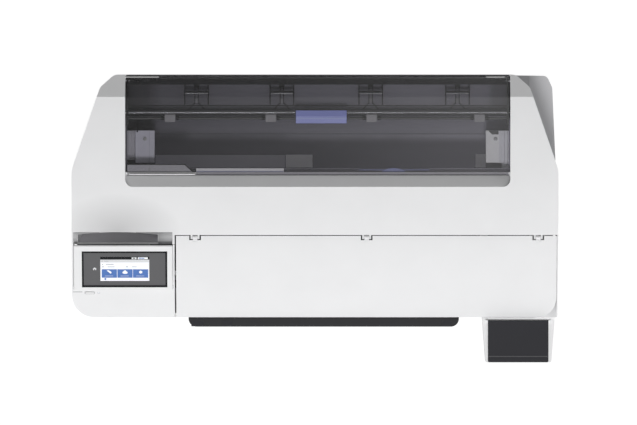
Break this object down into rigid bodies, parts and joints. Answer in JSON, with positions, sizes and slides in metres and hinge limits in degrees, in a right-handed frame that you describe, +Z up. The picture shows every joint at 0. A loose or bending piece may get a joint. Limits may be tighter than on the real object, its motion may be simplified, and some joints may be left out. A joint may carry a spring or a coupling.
{
  "type": "dye sublimation printer",
  "caption": "Wide desktop dye sublimation roll printer with hinged front cover, smoked roll cover, tilting touch panel and a lidded ink tank box at the front right.",
  "frame": {"origin": "middle of the footprint's bounding box, on the surface that the feet stand on", "axes": "+X to the printer's right seen from the front, +Y to the rear, +Z up"},
  "size_m": [0.97, 0.575, 0.23],
  "materials": {
    "white_shell": "satin moulded plastic",
    "white_cover": "smooth satin-gloss moulded plastic",
    "smoked_cover": "smoked transparent plastic",
    "black_plastic": "fine-grained black plastic",
    "dark_plastic": "dark grey plastic",
    "grey_plastic": "mid grey plastic",
    "light_grey_plastic": "light grey plastic",
    "blue_plastic": "blue touch-point plastic",
    "panel_glass": "dark panel window",
    "display": "lit display",
    "lamp": "frosted light guide",
    "sheet_steel": "galvanised sheet steel",
    "bright_steel": "ground bright steel",
    "rubber": "soft black rubber",
    "belt_rubber": "toothed belt rubber",
    "brass": "machined brass",
    "board_green": "solder-masked board",
    "tank_plastic": "translucent moulded tank",
    "cap_black": "black cap",
    "cap_cyan": "cyan cap",
    "cap_magenta": "magenta cap",
    "cap_yellow": "yellow cap"
  },
  "bodies": {
    "case": {"base_pan": "sheet_steel", "feet": "rubber", "lower_case": "white_shell", "rear_panel": "sheet_steel", "mains_inlet": "black_plastic", "data_ports": "bright_steel", "top_shell": "white_shell", "front_left_fascia": "white_shell", "status_lamp": "lamp", "roll_trough": "dark_plastic", "left_roll_holder": "light_grey_plastic", "right_roll_holder": "light_grey_plastic", "paper_guides": "grey_plastic", "feeder_plate": "grey_plastic", "hold_down_brackets": "dark_plastic", "feeder_shaft": "bright_steel", "left_side_frame": "sheet_steel", "right_side_frame": "sheet_steel", "platen": "black_plastic", "carriage_rail": "sheet_steel", "timing_belt": "belt_rubber", "carriage_motor": "sheet_steel", "feed_motor": "sheet_steel", "cutter_rail": "bright_steel", "capping_station": "dark_plastic", "output_guide": "black_plastic", "ink_box": "white_shell", "hinge_pins": "bright_steel", "ink_tanks": "tank_plastic", "rear_housing": "white_shell", "main_board": "board_green", "power_supply": "sheet_steel", "guide_screws": "bright_steel"},
    "front_cover": {"front_cover": "white_cover"},
    "roll_cover": {"roll_cover": "smoked_cover", "roll_cover_arms": "black_plastic"},
    "control_panel": {"control_panel": "white_cover", "panel_glass": "panel_glass", "display": "display"},
    "power_button": {"power_button": "white_cover"},
    "feeder_rollers": {"feeder_rollers": "dark_plastic"},
    "release_lever": {"release_lever": "blue_plastic"},
    "carriage": {"carriage": "dark_plastic", "print_head": "bright_steel"},
    "drive_pulley": {"drive_pulley": "brass"},
    "idler_pulley": {"idler_pulley": "brass"},
    "feed_roller": {"feed_roller": "sheet_steel", "feed_gear": "light_grey_plastic"},
    "motor_pinion": {"motor_pinion": "brass"},
    "pinch_rollers": {"pinch_rollers": "rubber"},
    "eject_roller": {"eject_roller": "rubber"},
    "cutter_carriage": {"cutter_carriage": "dark_plastic"},
    "ink_box_lid": {"ink_box_lid": "black_plastic"},
    "maintenance_box": {"maintenance_box": "light_grey_plastic"},
    "tank_cap_1": {"tank_cap_1": "cap_black"},
    "tank_cap_2": {"tank_cap_2": "cap_cyan"},
    "tank_cap_3": {"tank_cap_3": "cap_magenta"},
    "tank_cap_4": {"tank_cap_4": "cap_yellow"}
  },
  "joints": [
    {"name": "front_cover_hinge", "type": "hinge", "parent": "case", "child": "front_cover", "pos_m": [0.103, -0.037, 0.1969], "axis": [-1, 0, 0], "range_deg": [0, 65]},
    {"name": "roll_cover_hinge", "type": "hinge", "parent": "case", "child": "roll_cover", "pos_m": [0.005, 0.275, 0.1905], "axis": [-1, 0, 0], "range_deg": [0, 70]},
    {"name": "control_panel_tilt", "type": "hinge", "parent": "case", "child": "control_panel", "pos_m": [-0.382, -0.13609, 0.14969], "axis": [1, 0, 0], "range_deg": [0, 35]},
    {"name": "power_button_press", "type": "slide", "parent": "case", "child": "power_button", "axis": [0, 0.6695, -0.7428], "range_m": [0, 0.0015], "stiffness_N_per_m": 400},
    {"name": "feeder_rollers_spin", "type": "hinge", "parent": "case", "child": "feeder_rollers", "pos_m": [0.005, 0.2005, 0.189], "axis": [1, 0, 0], "continuous": true},
    {"name": "release_lever_tilt", "type": "hinge", "parent": "case", "child": "release_lever", "pos_m": [0.0125, 0.212, 0.196], "axis": [-1, 0, 0], "range_deg": [0, 30]},
    {"name": "carriage_slide", "type": "slide", "parent": "case", "child": "carriage", "axis": [1, 0, 0], "range_m": [-0.73, 0]},
    {"name": "drive_pulley_spin", "type": "hinge", "parent": "case", "child": "drive_pulley", "pos_m": [0.414, 0.014, 0.132], "axis": [0, 1, 0], "range_deg": [-4700, 10]},
    {"name": "idler_pulley_spin", "type": "hinge", "parent": "case", "child": "idler_pulley", "pos_m": [-0.387, 0.014, 0.132], "axis": [0, 1, 0], "range_deg": [-4700, 10]},
    {"name": "feed_roller_spin", "type": "hinge", "parent": "case", "child": "feed_roller", "pos_m": [0, 0.062, 0.0735], "axis": [1, 0, 0], "continuous": true},
    {"name": "motor_pinion_spin", "type": "hinge", "parent": "case", "child": "motor_pinion", "pos_m": [-0.4, 0.0245, 0.0735], "axis": [1, 0, 0], "continuous": true},
    {"name": "pinch_rollers_spin", "type": "hinge", "parent": "case", "child": "pinch_rollers", "pos_m": [0, 0.062, 0.0918], "axis": [1, 0, 0], "continuous": true},
    {"name": "eject_roller_spin", "type": "hinge", "parent": "case", "child": "eject_roller", "pos_m": [0, -0.13, 0.07], "axis": [1, 0, 0], "continuous": true},
    {"name": "cutter_slide", "type": "slide", "parent": "case", "child": "cutter_carriage", "axis": [1, 0, 0], "range_m": [-0.7, 0]},
    {"name": "ink_lid_hinge", "type": "hinge", "parent": "case", "child": "ink_box_lid", "pos_m": [0.4065, -0.205, 0.0783], "axis": [-1, 0, 0], "range_deg": [0, 100]},
    {"name": "tank_cap_1_turn", "type": "hinge", "parent": "case", "child": "tank_cap_1", "pos_m": [0.3645, -0.2555, 0.058], "axis": [0, 0, 1], "range_deg": [0, 270]},
    {"name": "tank_cap_2_turn", "type": "hinge", "parent": "case", "child": "tank_cap_2", "pos_m": [0.3925, -0.2555, 0.058], "axis": [0, 0, 1], "range_deg": [0, 270]},
    {"name": "tank_cap_3_turn", "type": "hinge", "parent": "case", "child": "tank_cap_3", "pos_m": [0.4205, -0.2555, 0.058], "axis": [0, 0, 1], "range_deg": [0, 270]},
    {"name": "tank_cap_4_turn", "type": "hinge", "parent": "case", "child": "tank_cap_4", "pos_m": [0.4485, -0.2555, 0.058], "axis": [0, 0, 1], "range_deg": [0, 270]},
    {"name": "maintenance_box_slide", "type": "slide", "parent": "case", "child": "maintenance_box", "axis": [0, 1, 0], "range_m": [0, 0.15]}
  ],
  "couplings": [
    {"joint": "drive_pulley_spin", "follows": "carriage_slide", "rad_per_m": 111.11},
    {"joint": "idler_pulley_spin", "follows": "carriage_slide", "rad_per_m": 111.11},
    {"joint": "motor_pinion_spin", "follows": "feed_roller_spin", "ratio": -4},
    {"joint": "pinch_rollers_spin", "follows": "feed_roller_spin", "ratio": -2},
    {"joint": "eject_roller_spin", "follows": "feed_roller_spin", "ratio": 1.5}
  ]
}
